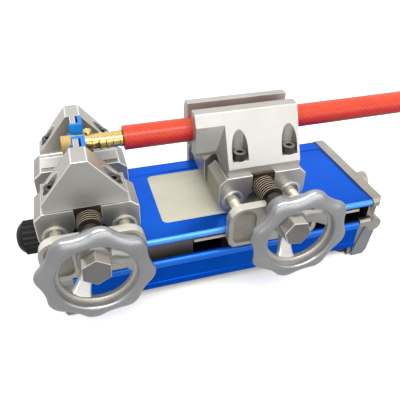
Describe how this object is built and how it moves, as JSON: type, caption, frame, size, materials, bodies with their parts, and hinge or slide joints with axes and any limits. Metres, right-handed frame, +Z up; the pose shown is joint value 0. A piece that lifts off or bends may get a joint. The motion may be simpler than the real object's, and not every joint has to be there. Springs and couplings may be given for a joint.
{
  "type": "push-lock hose assembly tool",
  "caption": "Bench tool that pushes a push-lock hose onto a barbed fitting: screw-driven carriage and two self-centring handwheel vises on a blue channel base.",
  "frame": {"origin": "on the bench plane, under the centre of the tool's bounding box without the hose", "axes": "+X along the deck from the fitting vise to the hose vise, -Y toward the handwheels, +Z up"},
  "size_m": [0.3741, 0.1816, 0.1503],
  "materials": {
    "black_rubber": "matt black",
    "black_steel": "black oxide",
    "blue_anodised": "blue anodised, smooth",
    "blue_plastic": "moulded blue nylon",
    "brass": "machined brass",
    "bright_steel": "ground and polished",
    "bronze": "machined bearing bronze",
    "cast_alloy": "as cast, bead blasted",
    "machined_alloy": "machined and tumbled",
    "pale_label": "bare off-white plate",
    "red_hose": "red braided hose",
    "thread_steel": "rolled thread, greased"
  },
  "bodies": {
    "frame": {"base_channel": "blue_anodised", "deck_plate": "blue_anodised", "end_cap_left": "cast_alloy", "end_cap_right": "cast_alloy", "end_cap_screws": "black_steel", "deck_screws": "black_steel", "guide_rails": "machined_alloy", "rail_screws": "black_steel", "mount_block": "machined_alloy", "rubber_feet": "black_rubber", "foot_screws": "black_steel", "label_plate": "pale_label", "drive_bushings": "bronze", "fitting_yoke_front": "cast_alloy", "fitting_yoke_rear": "cast_alloy", "fitting_yoke_screws": "black_steel", "fitting_rods": "bright_steel", "barb_fitting": "brass"},
    "drive": {"drive_screw": "thread_steel", "drive_cap": "black_rubber"},
    "carriage": {"carriage_block": "machined_alloy", "drive_nut": "bronze", "hose_yoke_front": "cast_alloy", "hose_yoke_rear": "cast_alloy", "hose_yoke_screws": "black_steel", "hose_rods": "bright_steel", "sample_hose": "red_hose"},
    "hose_jaw_front_half": {"hose_slide_front": "machined_alloy", "hose_jaw_front": "machined_alloy", "hose_jaw_screws_front": "black_steel", "hose_bushings_front": "bright_steel", "hose_nut_front": "bronze"},
    "hose_jaw_rear_half": {"hose_slide_rear": "machined_alloy", "hose_jaw_rear": "machined_alloy", "hose_jaw_screws_rear": "black_steel", "hose_bushings_rear": "bright_steel", "hose_nut_rear": "bronze"},
    "hose_wheel": {"hose_vise_screw": "thread_steel", "hose_collars": "black_steel", "hose_handwheel": "cast_alloy", "hose_wheel_nut": "bright_steel"},
    "fitting_jaw_front_half": {"fitting_slide_front": "machined_alloy", "fitting_jaw_front": "machined_alloy", "fitting_jaw_screws_front": "black_steel", "fitting_bushings_front": "bright_steel", "fitting_nut_front": "bronze", "fitting_insert_front": "blue_plastic"},
    "fitting_jaw_rear_half": {"fitting_slide_rear": "machined_alloy", "fitting_jaw_rear": "machined_alloy", "fitting_jaw_screws_rear": "black_steel", "fitting_bushings_rear": "bright_steel", "fitting_nut_rear": "bronze", "fitting_insert_rear": "blue_plastic"},
    "fitting_wheel": {"fitting_vise_screw": "thread_steel", "fitting_collars": "black_steel", "fitting_handwheel": "cast_alloy", "fitting_wheel_nut": "bright_steel"}
  },
  "joints": [
    {"name": "drive_turn", "type": "hinge", "parent": "frame", "child": "drive", "pos_m": [0.002, 0.01925, 0.0462], "axis": [1, 0, 0], "range_deg": [-7797, 3120]},
    {"name": "carriage_slide", "type": "slide", "parent": "frame", "child": "carriage", "axis": [1, 0, 0], "range_m": [-0.022, 0.055]},
    {"name": "hose_wheel_turn", "type": "hinge", "parent": "carriage", "child": "hose_wheel", "pos_m": [0.0381, 0.01925, 0.0893], "axis": [0, -1, 0], "range_deg": [0, 1984]},
    {"name": "hose_front_slide", "type": "slide", "parent": "carriage", "child": "hose_jaw_front_half", "axis": [0, -1, 0], "range_m": [0, 0.014]},
    {"name": "hose_rear_slide", "type": "slide", "parent": "carriage", "child": "hose_jaw_rear_half", "axis": [0, 1, 0], "range_m": [0, 0.014]},
    {"name": "fitting_wheel_turn", "type": "hinge", "parent": "frame", "child": "fitting_wheel", "pos_m": [-0.1078, 0.01925, 0.0893], "axis": [0, -1, 0], "range_deg": [0, 1204]},
    {"name": "fitting_front_slide", "type": "slide", "parent": "frame", "child": "fitting_jaw_front_half", "axis": [0, -1, 0], "range_m": [0, 0.0085]},
    {"name": "fitting_rear_slide", "type": "slide", "parent": "frame", "child": "fitting_jaw_rear_half", "axis": [0, 1, 0], "range_m": [0, 0.0085]}
  ],
  "couplings": [
    {"joint": "drive_turn", "follows": "carriage_slide", "rad_per_m": -2473.7},
    {"joint": "hose_front_slide", "follows": "hose_wheel_turn", "m_per_rad": 0.00040425},
    {"joint": "hose_rear_slide", "follows": "hose_wheel_turn", "m_per_rad": 0.00040425},
    {"joint": "fitting_front_slide", "follows": "fitting_wheel_turn", "m_per_rad": 0.00040425},
    {"joint": "fitting_rear_slide", "follows": "fitting_wheel_turn", "m_per_rad": 0.00040425}
  ]
}
